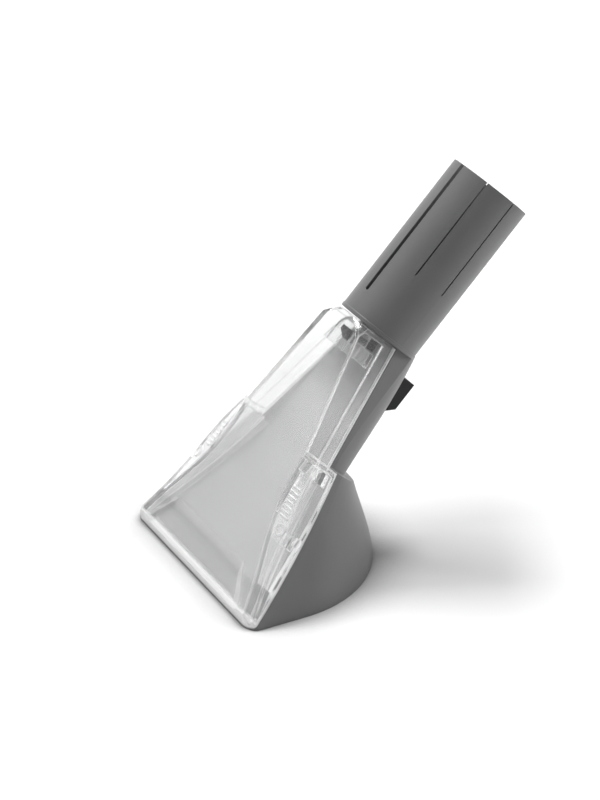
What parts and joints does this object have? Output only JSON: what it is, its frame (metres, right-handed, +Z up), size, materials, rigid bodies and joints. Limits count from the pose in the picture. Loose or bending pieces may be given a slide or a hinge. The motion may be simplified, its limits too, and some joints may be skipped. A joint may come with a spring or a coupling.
{
  "type": "vacuum upholstery nozzle",
  "caption": "Spray extraction upholstery nozzle: grey body with slotted tube, clear cover clipped over the suction duct, black release latch on the neck.",
  "frame": {"origin": "middle of the front lip of the mouth, on the floor that the nozzle stands on", "axes": "+X across the mouth, +Y to the rear, +Z up; the tube leans back at 46 degrees above the floor"},
  "size_m": [0.104, 0.1498, 0.1542],
  "materials": {
    "grey_plastic": "fine satin moulding",
    "clear_plastic": "clear moulded plastic",
    "black_plastic": "satin",
    "pale_plastic": "satin",
    "steel": "plain wire and pin",
    "brass": "turned",
    "dark_rubber": "matt",
    "soft_seal": "matt"
  },
  "bodies": {
    "nozzle": {"nozzle_body": "grey_plastic", "clear_cover": "clear_plastic", "cover_gasket": "soft_seal", "latch_spring": "steel", "water_spigot": "pale_plastic", "spigot_o_ring": "dark_rubber", "feed_hose": "dark_rubber", "hose_clips": "steel", "jet_holder": "pale_plastic", "holder_screws": "steel", "spray_jet": "brass", "jet_nut": "black_plastic", "jet_strainer": "pale_plastic", "jet_washer": "dark_rubber"},
    "latch": {"release_latch": "black_plastic", "latch_pin": "steel"}
  },
  "joints": [
    {"name": "latch_press", "type": "hinge", "parent": "nozzle", "child": "latch", "pos_m": [0, 0.0854, 0.07044], "axis": [-1, 0, 0], "range_deg": [0, 6], "stiffness_Nm_per_rad": 0.02, "springref_deg": -11.46}
  ]
}
